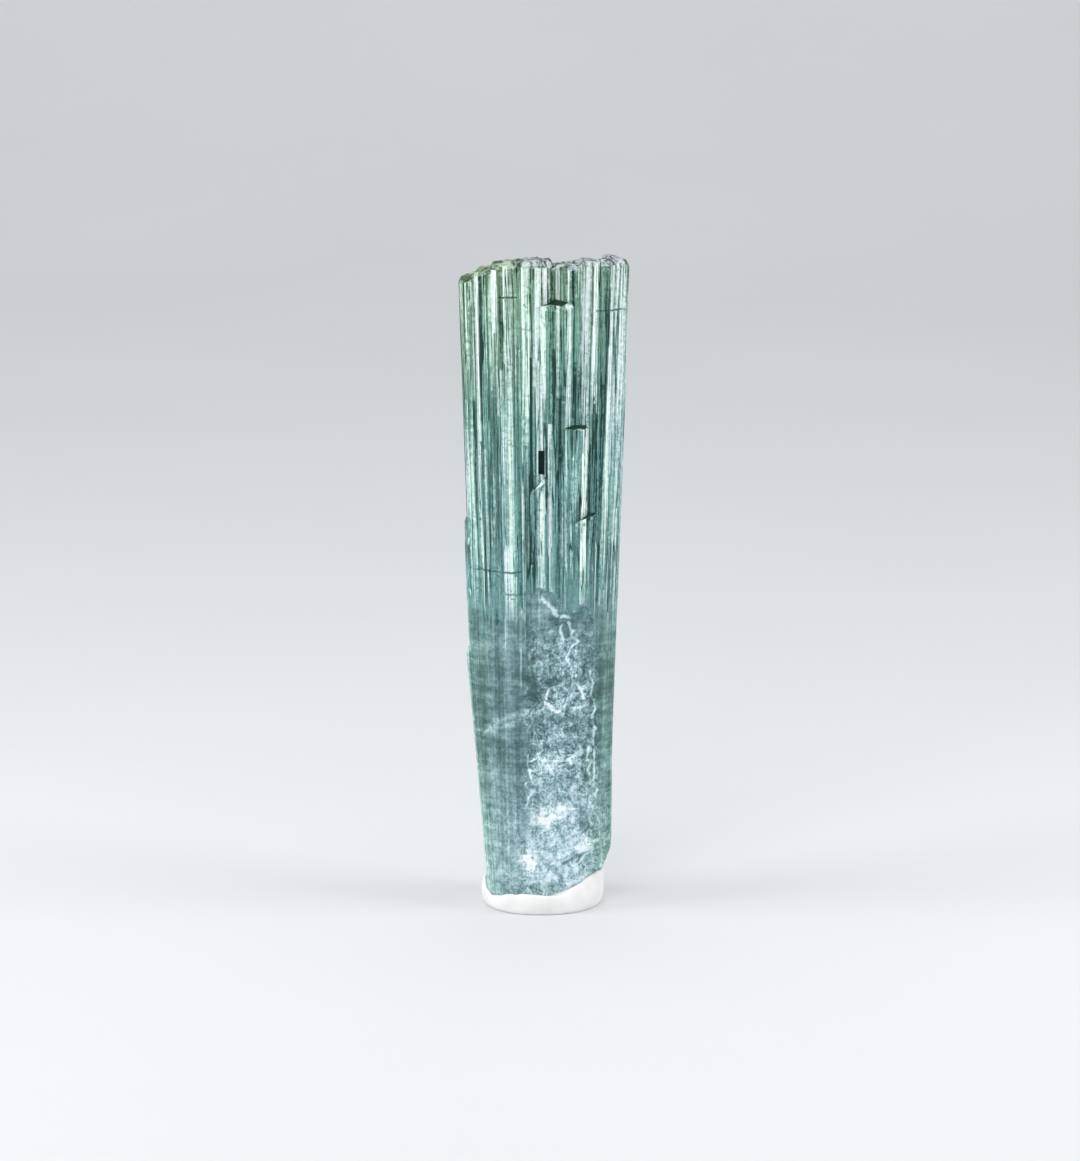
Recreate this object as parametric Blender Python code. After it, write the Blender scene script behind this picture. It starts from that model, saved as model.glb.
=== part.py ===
"""A pale green tourmaline crystal standing on a pad of white museum putty.

The crystal is a bundle of parallel rods that grew together along the c axis: a rounded
triangle in plan, widest at the top, with short rods that end in ledges part way up, a
smoother foot, a broken patch low on the front and a slanting, broken base.
Metres, +Z up. The origin is on the surface it stands on, under the middle of its box.
"""

import math
from typing import NamedTuple

import bmesh
import bpy
import numpy as np

MM = 0.001

# Driving dimensions, in millimetres, of a crystal that stands 47.6 mm tall on its pad.
CROWN = 47.0  # height at which the plan below is drawn
HALF_WIDTH = 6.0  # from the middle of that plan to either end of its front
FOOT_SHARE = 0.753  # width of the bundle at the floor, as a share of that at the crown
ROD_START = -1.5  # the rods begin below the base cut
ROD_SIDES = 12
FOOT_TOP = 22.6  # the grooves between rods are filled below this height

# The broken base: its height on the left, where it starts to rise, and how steeply.
BASE_LEFT = 1.05
SWEEP_START = -2.3
SWEEP_RISE = 0.047

# The broken patch low on the front: its three sides, and its usual depth.
BREAK_FRONT = -4.12
BREAK_LEFT = -1.3
BREAK_RIGHT = 4.1
BREAK_TOP = 23.4
BREAK_DEPTH = 0.24

# The chip off the corner of the base: the two edges, as x and height, that it runs between.
CHIP_EDGES = [(5.6, 6.2), (3.6, 1.7)]

# The etched slot above the middle ledge rod: its sides, heights and floor.
SLOT_SIDES = (-0.40, 0.06)
SLOT_HEIGHTS = (32.3, 34.0)
SLOT_FLOOR = -3.1

# The putty pad.
PAD_GAP = 0.3  # clear space between the crystal and its pad
PAD_HALF_WIDTH = 4.45
PAD_HALF_DEPTH = 3.85
PAD_CENTRE = (-0.12, -0.1)
PAD_LIP = 0.9  # how far the putty is squeezed up beside the crystal at the back left
PAD_SIDES = 44


class Rod(NamedTuple):
    """One rod of the bundle: its place in the plan at the crown, and how it ends."""

    x: float
    y: float
    radius: float
    top: float
    slope_x: float = 0.0  # rise of its top face towards +X
    slope_y: float = 0.0  # rise of its top face towards +Y
    shoulder: float = 0.3  # height of the bevel below its top face
    drift: float = 0.0  # how far its foot leans towards +X
    sink: float = 0.0  # how far its foot leans towards +Y


# The rods of the outer ring, from the left end of the front, round by the right.
RING_RODS = [
    Rod(-4.95, -1.45, 1.14, 46.3, 0.30, 0.10, 0.30),
    Rod(-3.85, -2.15, 1.22, 46.9, 0.22, 0.05, 0.40),
    Rod(-2.5, -2.7, 1.38, 47.3, 0.12, 0.04, 0.35),
    Rod(-0.75, -2.85, 1.42, 47.5, 0.00, 0.02, 0.50),
    Rod(0.65, -2.45, 1.05, 46.9, -0.05, 0.00, 0.25),
    Rod(1.8, -2.8, 1.15, 47.2, 0.05, 0.03, 0.40),
    Rod(3.0, -2.6, 1.15, 47.4, 0.04, 0.05, 0.30),
    Rod(4.05, -2.2, 1.05, 47.4, 0.05, 0.02, 0.40),
    Rod(4.95, -1.35, 1.13, 47.5, -0.12, -0.05, 0.55),
    Rod(4.4, 0.0, 1.15, 46.8, -0.05, -0.10, 0.40),
    Rod(3.4, 1.2, 1.25, 46.2, 0.00, -0.14, 0.35),
    Rod(2.35, 2.25, 1.15, 46.7, 0.00, -0.08, 0.45),
    Rod(1.2, 3.0, 1.15, 45.6, 0.05, -0.15, 0.35),
    Rod(0.0, 3.45, 1.20, 46.4, 0.00, -0.12, 0.40),
    Rod(-1.25, 3.05, 1.15, 45.9, -0.04, -0.10, 0.35),
    Rod(-2.4, 2.15, 1.22, 46.5, 0.05, -0.12, 0.45),
    Rod(-3.45, 1.15, 1.15, 45.4, 0.08, -0.10, 0.35),
    Rod(-4.45, -0.1, 1.18, 46.1, 0.12, -0.05, 0.40),
]

# The rods inside the ring. Only their top faces show.
INNER_RODS = [
    Rod(-2.9, -0.9, 1.75, 46.75, 0.10, 0.05, 0.25),
    Rod(-0.9, -1.3, 1.55, 47.15, 0.05, -0.04, 0.30),
    Rod(1.3, -1.2, 1.65, 46.85, -0.04, 0.03, 0.25),
    Rod(3.1, -0.8, 1.60, 47.1, 0.06, -0.05, 0.30),
    Rod(1.2, 1.2, 1.70, 46.6, 0.00, -0.10, 0.25),
    Rod(-1.3, 1.1, 1.75, 46.9, 0.03, -0.08, 0.30),
    Rod(0.0, 2.4, 1.20, 46.5, 0.00, -0.12, 0.25),
]

# Short rods that stand proud of the sides and end in ledges, front first.
LEDGE_RODS = [
    Rod(0.78, -3.30, 1.48, 44.75, 0.05, 0.30, 0.40, 0.0, 0.9),
    Rod(2.36, -4.00, 0.95, 35.75, 0.00, 0.12, 0.15, 0.1, 1.3),
    Rod(3.15, -4.00, 1.00, 29.2, 0.34, 0.08, 0.20, 0.0, 1.5),
    Rod(-0.40, -4.00, 0.80, 31.7, 0.90, 0.10, 0.30, 0.2, 0.9),
    Rod(-5.30, -1.4, 0.98, 29.1, 0.35, 0.00, 0.25, 0.0, 0.1),
    Rod(-5.45, -0.9, 1.12, 19.5, 0.40, 0.05, 0.35, 0.0, 0.0),
    Rod(5.10, -0.75, 0.98, 40.6, -0.20, 0.05, 0.25, 0.0, 0.0),
    Rod(4.30, 0.85, 1.00, 33.2, -0.25, -0.10, 0.30, 0.0, -0.1),
    Rod(3.1, 2.20, 0.98, 42.3, -0.15, -0.20, 0.30, 0.0, -0.2),
    Rod(2.0, 3.10, 0.98, 26.4, -0.10, -0.20, 0.30, 0.0, -0.2),
    Rod(0.55, 3.80, 1.00, 37.4, 0.05, -0.30, 0.35, 0.0, -0.1),
    Rod(-0.9, 3.65, 0.95, 30.2, 0.10, -0.25, 0.30, 0.0, -0.1),
    Rod(-2.05, 2.95, 0.98, 41.0, 0.10, -0.20, 0.25, 0.0, -0.1),
    Rod(-3.25, 2.05, 1.02, 23.8, 0.20, -0.15, 0.30, 0.1, -0.1),
    Rod(-4.25, 0.90, 1.02, 35.1, 0.25, -0.10, 0.30, 0.0, 0.0),
]

# Corners of the smoother foot, in the plan at the crown, counter-clockwise from above.
FOOT_PLAN = [
    (-6.08, -1.2),
    (-5.6, -2.45),
    (-4.3, -3.4),
    (-2.7, -4.05),
    (-0.6, -4.25),
    (1.6, -4.15),
    (3.5, -3.8),
    (4.95, -3.0),
    (5.95, -1.95),
    (6.05, -0.95),
    (5.3, 0.75),
    (4.1, 2.25),
    (2.7, 3.5),
    (1.15, 4.4),
    (-0.3, 4.65),
    (-1.75, 4.15),
    (-3.3, 2.9),
    (-4.6, 1.4),
    (-5.7, -0.1),
]

# Below these heights the two ends of the front leave the straight taper.
LEFT_BEND, LEFT_LEAN = 19.5, 1.05
RIGHT_BEND, RIGHT_LEAN = 12.0, 0.40


def bundle_share(z):
    """Width of the bundle at height z, as a share of that at the crown."""
    return FOOT_SHARE + (1.0 - FOOT_SHARE) * z / CROWN


def at_height(plan_x, plan_y, z):
    """A point of the crown's plan carried to height z, with the bend of the two ends."""
    low_left = max(0.0, 1.0 - z / LEFT_BEND) * max(0.0, -plan_x / HALF_WIDTH) ** 2
    low_right = max(0.0, 1.0 - z / RIGHT_BEND) * max(0.0, plan_x / HALF_WIDTH) ** 2
    x = plan_x + LEFT_LEAN * low_left + RIGHT_LEAN * low_right
    return x * bundle_share(z), plan_y * bundle_share(z), z


def rod_outline(rod):
    """Corners about the rod's middle. Every rod has the same twelve face directions, as
    grown together crystals have, at its own uneven distances from the middle."""
    chance = np.random.default_rng(int(1000 * (abs(rod.x) + 7 * abs(rod.y) + rod.radius)))
    turns = (np.arange(ROD_SIDES) + 0.5) * 2 * math.pi / ROD_SIDES
    reach = rod.radius * chance.uniform(0.94, 1.03, ROD_SIDES)
    next_turns, next_reach = np.roll(turns, -1), np.roll(reach, -1)
    cross = np.sin(next_turns - turns)
    x = (reach * np.sin(next_turns) - next_reach * np.sin(turns)) / cross
    y = (next_reach * np.cos(turns) - reach * np.cos(next_turns)) / cross
    return np.column_stack([x, y])


def rod_rings(rod):
    """Rings of a rod from its buried foot, by the two bends, to its bevelled top face."""
    outline = rod_outline(rod)
    slope = np.array([rod.slope_x, rod.slope_y])
    bevel = 1.0 - 0.6 * rod.shoulder / rod.radius
    levels = [(ROD_START, 1.0, 0.0), (RIGHT_BEND, 1.0, 0.0)]
    if rod.top > LEFT_BEND + 2.0:
        levels.append((LEFT_BEND, 1.0, 0.0))
    levels += [(rod.top - rod.shoulder, 1.0, 1.0), (rod.top, bevel, 1.0)]
    rings = []
    for z, grow, tilted in levels:
        lean = 1.0 - max(z, 0.0) / rod.top
        middle = np.array([rod.x + rod.drift * lean, rod.y + rod.sink * lean])
        rise = tilted * grow * outline @ slope
        plan = middle + grow * outline
        rings.append([at_height(x, y, z + dz) for (x, y), dz in zip(plan, rise)])
    return rings


def ledge_height(x, y):
    """Height at which the foot ends, at a corner of its plan: it waves by under 1.3 mm."""
    return FOOT_TOP + 0.8 * math.sin(1.7 * x - 0.6) + 0.5 * math.sin(1.1 * y)


def foot_rings():
    """Rings of the smoother foot, from below the base to its uneven ledge."""
    levels = (ROD_START, RIGHT_BEND, LEFT_BEND)
    rings = [[at_height(x, y, z) for x, y in FOOT_PLAN] for z in levels]
    rings.append([at_height(x, y, ledge_height(x, y)) for x, y in FOOT_PLAN])
    return rings


def base_height(x, y):
    """Height of the broken base: flat on the left, sweeping up to the right."""
    sweep = np.maximum(0.0, x - SWEEP_START)
    waves = 0.05 * np.sin(1.3 * x + 0.9 * y) + 0.03 * y
    return BASE_LEFT + SWEEP_RISE * sweep**2 + waves


def break_depth(x, z):
    """Y of the broken patch low on the front: shallow scoops inside an open, wavy rim. The
    patch widens to the left below 13 mm, and its top edge falls to the right. Outside the
    rim the surface turns forward, clear of the crystal."""
    left = BREAK_LEFT - 0.14 * np.maximum(0.0, 13.0 - z) + 0.25 * np.sin(1.1 * z)
    right = BREAK_RIGHT + 0.12 * np.sin(0.9 * z)
    top = BREAK_TOP - 0.6 * (x - 0.2) + 0.3 * np.sin(2.6 * x)
    rim = np.minimum(np.minimum(x - left, right - x), top - z)
    inside = np.clip(rim, 0.0, 1.0)
    scoops = 0.14 * np.sin(1.7 * x + 0.55 * z) + 0.10 * np.sin(0.9 * x - 0.8 * z)
    front = BREAK_FRONT * bundle_share(z) + 0.08
    return front + (BREAK_DEPTH + scoops) * inside + 1.1 * np.minimum(rim, 0.0)


def solid_from_rings(name, rings):
    """A closed mesh skinned over rings of equal count, lowest first, with flat ends."""
    count = len(rings[0])
    points = [tuple(MM * c for c in point) for ring in rings for point in ring]
    faces = [tuple(reversed(range(count)))]
    for level in range(len(rings) - 1):
        low = level * count
        for i in range(count):
            j = (i + 1) % count
            faces.append((low + i, low + j, low + count + j, low + count + i))
    faces.append(tuple(range((len(rings) - 1) * count, len(rings) * count)))
    mesh = bpy.data.meshes.new(name)
    mesh.from_pydata(points, [], faces)
    solid = bpy.data.objects.new(name, mesh)
    bpy.context.scene.collection.objects.link(solid)
    return solid


def block_under_sheet(name, sheet, far):
    """A closed block between a grid of points and the same grid moved by far."""
    rows, columns = len(sheet), len(sheet[0])
    mesh = bpy.data.meshes.new(name)
    work = bmesh.new()
    near = [[work.verts.new(MM * np.array(p)) for p in row] for row in sheet]
    back = [[work.verts.new(MM * (np.array(p) + far)) for p in row] for row in sheet]
    for i in range(rows - 1):
        for j in range(columns - 1):
            for grid in (near, back):
                work.faces.new((grid[i][j], grid[i + 1][j], grid[i + 1][j + 1], grid[i][j + 1]))
    for i in range(rows - 1):
        for j in (0, columns - 1):
            work.faces.new((near[i][j], near[i + 1][j], back[i + 1][j], back[i][j]))
    for j in range(columns - 1):
        for i in (0, rows - 1):
            work.faces.new((near[i][j], near[i][j + 1], back[i][j + 1], back[i][j]))
    bmesh.ops.recalc_face_normals(work, faces=work.faces)
    work.to_mesh(mesh)
    work.free()
    block = bpy.data.objects.new(name, mesh)
    bpy.context.scene.collection.objects.link(block)
    return block


def helper(solid):
    """Marks a solid as a construction helper, which isn't part of the object."""
    solid.hide_render = True
    solid.display_type = "WIRE"
    return solid


def base_cutter():
    """Everything below the broken base, over more than the crystal's width and depth."""
    xs, ys = np.linspace(-8.0, 8.0, 13), np.linspace(-7.0, 7.0, 7)
    sheet = [[(x, y, base_height(x, y)) for x in xs] for y in ys]
    return helper(block_under_sheet("base_cutter", sheet, (0.0, 0.0, -12.0)))


def break_cutter():
    """Everything in front of the broken patch, over a little more than its extent."""
    xs, zs = np.linspace(-3.4, 5.2, 15), np.linspace(-1.0, 24.5, 22)
    sheet = [[(x, break_depth(x, z), z) for x in xs] for z in zs]
    return helper(block_under_sheet("break_cutter", sheet, (0.0, -6.0, 0.0)))


def chip_cutter():
    """A wedge that takes the corner off the base at the right."""
    sheet = [[(x, y, z) for x, z in CHIP_EDGES] for y in (-6.0, 6.0)]
    return helper(block_under_sheet("chip_cutter", sheet, (5.0, 0.0, -3.0)))


def etch_cutter():
    """The narrow etched slot just above the middle ledge rod."""
    sheet = [[(x, SLOT_FLOOR, z) for x in SLOT_SIDES] for z in SLOT_HEIGHTS]
    return helper(block_under_sheet("etch_cutter", sheet, (0.0, -3.0, 0.0)))


def boolean(solid, operation, **operand):
    """Adds one exact Boolean to a solid."""
    modifier = solid.modifiers.new(operation.lower(), "BOOLEAN")
    modifier.operation = operation
    modifier.solver = "EXACT"
    for name, value in operand.items():
        setattr(modifier, name, value)


def finish_of(name, colour, roughness, transmission=0.0, ior=1.5):
    """A plain Principled material."""
    material = bpy.data.materials.new(name)
    material.use_nodes = True
    shader = material.node_tree.nodes["Principled BSDF"]
    shader.inputs["Base Color"].default_value = (*colour, 1.0)
    shader.inputs["Roughness"].default_value = roughness
    shader.inputs["Metallic"].default_value = 0.0
    shader.inputs["Transmission Weight"].default_value = transmission
    shader.inputs["IOR"].default_value = ior
    material.diffuse_color = (*colour, 1.0)
    return material


def make_crystal():
    """The whole crystal: rods and foot fused in one solid, then broken at base and front."""
    crystal = solid_from_rings("tourmaline_crystal", foot_rings())
    bundle = bpy.data.collections.new("bundle")
    for number, rod in enumerate(RING_RODS + INNER_RODS + LEDGE_RODS, start=1):
        solid = helper(solid_from_rings(f"rod_{number:02d}", rod_rings(rod)))
        bundle.objects.link(solid)
    boolean(crystal, "UNION", operand_type="COLLECTION", collection=bundle)
    for cutter in (base_cutter(), break_cutter(), chip_cutter(), etch_cutter()):
        boolean(crystal, "DIFFERENCE", object=cutter)
    crystal.data.materials.append(finish_of("tourmaline", (0.45, 0.68, 0.6), 0.08, 0.9, 1.63))
    return crystal


def pad_reach(turn):
    """Distance from the pad's middle to its rim: a pressed lump, a little uneven."""
    oval = 1.0 / math.hypot(math.cos(turn) / PAD_HALF_WIDTH, math.sin(turn) / PAD_HALF_DEPTH)
    return oval * (1.0 + 0.02 * math.sin(3 * turn + 0.6) + 0.012 * math.sin(5 * turn))


def beyond_foot(x, y):
    """How far a point lies outside the crystal's outline just above its base."""
    corners = np.array([at_height(px, py, 1.0)[:2] for px, py in FOOT_PLAN])
    edges = np.roll(corners, -1, axis=0) - corners
    along = ((x, y) - corners) * edges
    share = np.clip(along.sum(axis=1) / (edges**2).sum(axis=1), 0.0, 1.0)
    near = corners + share[:, None] * edges - (x, y)
    side = edges[:, 0] * (y - corners[:, 1]) - edges[:, 1] * (x - corners[:, 0])
    distance = np.hypot(near[:, 0], near[:, 1]).min()
    return -distance if (side > 0).all() else distance


def pad_top(x, y):
    """Height of the pad's top: just under the base, with a lip squeezed up beside it."""
    open_side = np.clip((beyond_foot(x, y) - PAD_GAP) / 0.5, 0.0, 1.0)
    lip = PAD_LIP * open_side * np.clip(0.4 - 0.25 * x, 0.0, 1.0)
    return float(base_height(np.asarray(x), np.asarray(y)) - PAD_GAP + lip)


def pad_ring(share, level):
    """One ring of the pad: share of the way to the rim, level of the way to its top."""
    ring = []
    for turn in np.linspace(0.0, 2 * math.pi, PAD_SIDES, endpoint=False):
        reach = share * pad_reach(turn)
        x = PAD_CENTRE[0] + reach * math.cos(turn)
        y = PAD_CENTRE[1] + reach * math.sin(turn)
        ring.append((x, y, level * pad_top(x, y)))
    return ring


def make_pad():
    """The putty pad: flat below, bulging at its sides, pressed to the base above."""
    side = [(0.9, 0.0), (0.97, 0.12), (1.0, 0.4), (0.99, 0.75), (0.94, 1.0)]
    top = [(share, 1.0) for share in (0.86, 0.78, 0.66, 0.45, 0.2)]
    pad = solid_from_rings("putty_pad", [pad_ring(share, level) for share, level in side + top])
    pad.data.materials.append(finish_of("museum_putty", (0.9, 0.89, 0.87), 0.6))
    pad.data.shade_smooth()
    pad.data.set_sharp_from_angle(angle=math.radians(50))
    return pad


def main():
    for old in list(bpy.data.objects):
        bpy.data.objects.remove(old)
    make_crystal()
    make_pad()


main()
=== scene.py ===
"""Looks of a pale green tourmaline crystal standing on a pad of white museum putty.

The crystal is drawn again at fine scale: each rod of the bundle has striated sides, thin
growth strips stand on them, the tops are pitted, the broken base and front are rough, and
white healed cracks run over them. It is one clear solid, with frost where it is broken.
Lengths are in millimetres, +Z is up and the front of the crystal looks along -Y.
"""

import itertools
import math
from typing import NamedTuple

import bmesh
import bpy
import mathutils
import numpy as np
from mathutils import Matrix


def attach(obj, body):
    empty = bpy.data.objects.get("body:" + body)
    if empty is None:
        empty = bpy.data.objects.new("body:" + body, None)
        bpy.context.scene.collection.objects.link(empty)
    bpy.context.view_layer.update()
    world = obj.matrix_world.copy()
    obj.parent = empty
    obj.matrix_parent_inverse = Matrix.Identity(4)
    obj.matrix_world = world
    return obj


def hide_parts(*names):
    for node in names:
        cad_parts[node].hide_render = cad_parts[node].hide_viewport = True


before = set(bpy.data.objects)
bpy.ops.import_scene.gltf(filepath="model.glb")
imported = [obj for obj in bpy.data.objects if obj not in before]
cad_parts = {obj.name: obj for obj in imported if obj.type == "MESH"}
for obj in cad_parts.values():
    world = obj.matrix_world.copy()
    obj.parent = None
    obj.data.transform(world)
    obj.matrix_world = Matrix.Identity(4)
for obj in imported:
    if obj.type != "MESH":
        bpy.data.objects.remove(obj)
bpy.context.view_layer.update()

MM = 0.001

# Proportions of the bundle. Every plan below is drawn at the crown.
CROWN = 47.0
FOOT_SHARE = 0.753  # width at the floor, as a share of that at the crown
ROD_START = -1.5  # the rods begin below the base cut
ROD_SIDES = 12
HALF_WIDTH = 6.0
LEFT_BEND, LEFT_LEAN = 19.5, 1.05  # height where an end bends, and how far it leans in
RIGHT_BEND, RIGHT_LEAN = 12.0, 0.40
FOOT_TOP = 22.6  # the grooves between the rods are filled below this height

# Fineness of the rods.
RIB_STRIPS = 4  # strips on each side of a rod
RIB_DEPTH = 0.065
RIB_WANDER = 0.3  # how far the steps between strips stray, as a share of a strip
RIB_STEP = 0.12  # width of such a step, as a share of a strip
ROD_STEP = 2.0  # height between the rings of a rod
PIT_SIZE = 0.45  # pits in the tops of the rods
PIT_DEPTH = 0.22
GROOVE_REACH = 0.30  # how far out of a groove its shade reaches
TONE_LENGTH = 16.0  # height over which the tone of a strip changes

# Growth strips: the length of the wedge at each end, how deep its tip sinks in the rod, and
# the widths of a strip's four rings, as shares. A ring has six corners: how far across each
# lies, and how far out, where 1 is the top of the strip and the others are lengths.
STRIP_END = 1.4
STRIP_SINK = 0.15
STRIP_WIDTHS = (0.15, 1.0, 1.0, 0.15)
STRIP_ACROSS = (-1.0, -1.0, -0.7, 0.7, 1.0, 1.0)
STRIP_OUT = (-0.25, 0.0, 1.0, 1.0, 0.0, -0.25)

# Fineness of the smoother foot.
FOOT_STRIPS = 5
FOOT_DEPTH = 0.03
FOOT_STEP = 0.6

# The broken base: its height on the left, where it starts to rise, and how steeply.
BASE_LEFT = 1.05
SWEEP_START = -2.3
SWEEP_RISE = 0.047

# The broken patch on the front of the foot.
BREAK_LEFT = -1.3
BREAK_RIGHT = 4.1
BREAK_TOP = 23.4
BREAK_DEPTH = 0.26
VEIN_RISE = 0.07  # how far the white veins stand out of it

# The chip off the lower right corner of the foot: x and height of its upper edge, and how
# far in and down it runs from there.
CHIP_EDGE = (5.6, 6.2)
CHIP_RUN = (2.0, 4.5)

# The etched slot: x of its sides, its heights, and y of its floor.
SLOT_SIDES = (-0.40, 0.06)
SLOT_HEIGHTS = (32.3, 34.0)
SLOT_FLOOR = -3.1

# The putty pad.
PAD_HALF_WIDTH = 4.45
PAD_HALF_DEPTH = 3.85
PAD_CENTRE = (-0.12, -0.1)
PAD_LIP = 0.9  # how far the putty is squeezed up beside the crystal
PAD_CONTACT = 0.03  # how far below the base's grain the putty starts
PAD_POINTS = 220  # round each ring
PAD_SIDE_RINGS = 22
PAD_TOP_RINGS = 46

# Tones that mark a kind of surface: broken, down to -2 where a white vein crosses it, and
# the slot. Others run from 0, dark and clear, to 1, pale, and the tops are half way. On the
# striated sides a dark tone paints shade, and a pale one is partly frost and partly a
# painted highlight.
BROKEN = -1.0
SLOT = -0.5
TOP_TONE = 0.5

# Heights where the looks change.
# The lids above this height are painted dark, as shade.
LEDGES_FROM = 25.8  # the lids of the front's ledges are above this
WAIST_TOP = 34.0  # the front has the faces of the waist up to here
CROWN_FOOT = 39.0  # and those of the crown from here
TOPS_FROM = 45.4  # the tops of the crown are above this

# Faces across the front, left to right: plan x where each starts, and its tone. The first
# row holds near the crown and the second about the waist. A pale tone paints a face partly
# as frost and partly as a painted highlight, and a dark tone paints it with shade.
CROWN_FACES = [
    (-6.1, 0.5), (-5.9, 0.2), (-5.7, 1.0), (-4.65, 0.0), (-4.45, 0.65), (-3.9, 1.0),
    (-3.3, 0.1), (-2.9, 1.0), (-2.65, 0.65), (-2.0, 0.5), (-1.6, 1.0), (-1.1, 0.1),
    (-0.95, 0.6), (-0.65, 1.0), (0.2, 0.1), (0.85, 0.95), (1.1, 0.3),
    (1.5, 0.75), (2.0, 0.1), (2.4, 0.9), (3.35, 0.3), (3.5, 1.0), (3.9, 0.5),
    (4.3, 0.25), (4.75, 1.0), (5.8, 0.85),
]
WAIST_FACES = [
    (-6.3, 0.5), (-6.1, 0.15), (-5.95, 0.85), (-5.3, 0.0), (-5.1, 1.0), (-4.8, 0.1),
    (-4.55, 0.5), (-3.4, 0.0), (-3.15, 0.85), (-2.75, 1.0), (-2.45, 0.8), (-2.3, 0.4),
    (-1.75, 0.95), (-1.5, 0.45), (-1.2, 0.0), (-0.54, 1.0), (0.1, 0.0), (0.42, 0.9),
    (0.6, 0.3), (1.05, 0.0), (1.35, 0.4), (1.6, 0.7), (1.8, 0.1), (2.1, 0.8), (2.3, 0.35),
    (2.95, 1.0), (3.35, 0.05), (3.6, 0.4), (3.8, 0.1), (4.3, 0.0), (4.5, 0.7),
]

# Tint of the clear body from the foot to the upper left.
TINTS = [
    (0.00, (0.36, 0.56, 0.53)),
    (0.42, (0.28, 0.67, 0.69)),
    (0.60, (0.35, 0.85, 0.84)),
    (0.78, (0.46, 0.98, 0.82)),
    (0.98, (0.65, 1.00, 0.58)),
]

# The colour that light keeps inside the crystal, how strongly the rest is taken out, and
# how far light bends on the way in.
BODY_COLOUR = (0.30, 0.75, 0.65, 1.0)
ABSORPTION = 45.0
REFRACTION = 1.63

# Dark colours for the cracks and for painted shade in the grooves, on dark faces, in the
# slot and on the lids, then pale faces, the white of painted highlights, the crown's tops
# and the green of painted light refracted at the foot's sides.
DEEP_TINT_AND_SHADE = (0.04, 0.16, 0.13)
CRACK_AND_SHADE_DARK = (0.008, 0.035, 0.030)
LID_SHADE = (0.012, 0.030, 0.014)
MINT = (0.79, 1.0, 0.88)
LILAC = (0.86, 0.89, 1.0)
HIGHLIGHT_WHITE = (0.96, 1.0, 0.98)
TOP_GREEN = (0.46, 0.62, 0.38)
TOP_GREY = (0.66, 0.68, 0.76)
TOP_PITS = (0.035, 0.085, 0.04)
EDGE_LIGHT_GREEN = (0.85, 1.0, 0.78)

# The foot, from its dark hollows to its whitest frost.
FROST = [
    (0.00, (0.03, 0.075, 0.08)),
    (0.28, (0.11, 0.22, 0.23)),
    (0.50, (0.28, 0.44, 0.47)),
    (0.75, (0.60, 0.75, 0.83)),
    (1.00, (0.95, 1.00, 1.00)),
]

# Fine cracks across the front: height, x from and to, and how dark.
FRACTURES = [
    (44.9, -3.22, -1.88, 1.0),
    (43.8, 3.66, 5.77, 1.0),
    (42.6, -2.66, -0.69, 0.6),
    (25.2, -5.03, -1.55, 0.9),
    (23.7, -2.76, -1.27, 0.7),
]

# White veins over the broken front: half width, then x and height along each.
VEINS = [
    (0.16, [(-0.2, 23.2), (0.5, 22.6), (1.05, 22.0), (1.6, 21.8), (2.3, 22.0)]),
    (0.13, [(1.3, 20.0), (1.35, 21.2), (1.8, 21.4), (2.2, 21.1), (2.25, 20.2), (2.1, 19.5),
            (1.7, 18.8), (2.0, 17.8), (2.2, 17.3)]),
    (0.15, [(2.4, 16.3), (1.7, 16.6), (1.1, 16.9), (0.6, 16.8), (0.1, 16.1), (0.05, 15.4),
            (0.6, 15.0), (1.2, 14.8)]),
    (0.13, [(2.4, 16.8), (2.9, 16.2), (2.85, 15.4), (2.2, 15.2)]),
    (0.10, [(3.45, 18.0), (3.55, 16.6), (3.45, 15.1), (3.45, 13.9), (3.7, 13.3), (3.7, 12.0)]),
    (0.09, [(2.95, 13.7), (3.25, 12.4), (3.25, 10.8), (3.4, 9.6), (3.9, 8.4)]),
    (0.09, [(-1.1, 12.2), (-1.05, 9.9), (-1.1, 7.8)]),
    (0.10, [(-0.9, 11.3), (0.4, 11.4), (2.0, 11.2)]),
]

# Fine pale lines up the foot: x, and heights from and to.
HAIRLINES = [
    (-4.45, 20.0, 24.5),
    (-2.72, 19.0, 24.5),
    (-1.62, 16.2, 19.6),
    (-0.35, 20.8, 24.0),
    (3.62, 9.5, 14.5),
]

# Whiter and darker spots of the front: x, height, reach across and up, and strength.
FROST_SPOTS = [
    (0.5, 7.3, 1.5, 0.7, 0.26),
    (-1.05, 3.6, 0.55, 0.8, 0.38),
    (2.8, 4.7, 1.0, 0.4, 0.30),
    (0.9, 11.0, 1.8, 0.9, 0.18),
    (0.8, 12.6, 2.0, 1.4, 0.09),
    (1.3, 15.8, 1.6, 1.2, 0.18),
    (1.7, 18.6, 0.8, 1.5, 0.14),
    (-2.6, 14.2, 2.6, 0.45, 0.16),
    (2.75, 6.6, 0.2, 0.8, -0.18),
    (2.3, 3.95, 1.1, 0.15, -0.3),
    (-1.0, 16.8, 0.5, 1.8, -0.12),
]

PUTTY = (0.80, 0.795, 0.78)
PUTTY_SMEARS = (0.72, 0.72, 0.71)

# The studio, in metres and watts.
PAINT = (0.66, 0.67, 0.68)
PAINT_PATCHES = (0.70, 0.71, 0.72)
FLOOR_FRONT = -2.0
FLOOR_BACK = 0.35
FLOOR_SIDES = (-1.6, 1.6)
WALL_BEND = 0.35
WALL_TOP = 1.6
SKY = (0.92, 0.96, 1.0, 1.0)
SKY_STRENGTH = 0.5

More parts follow.
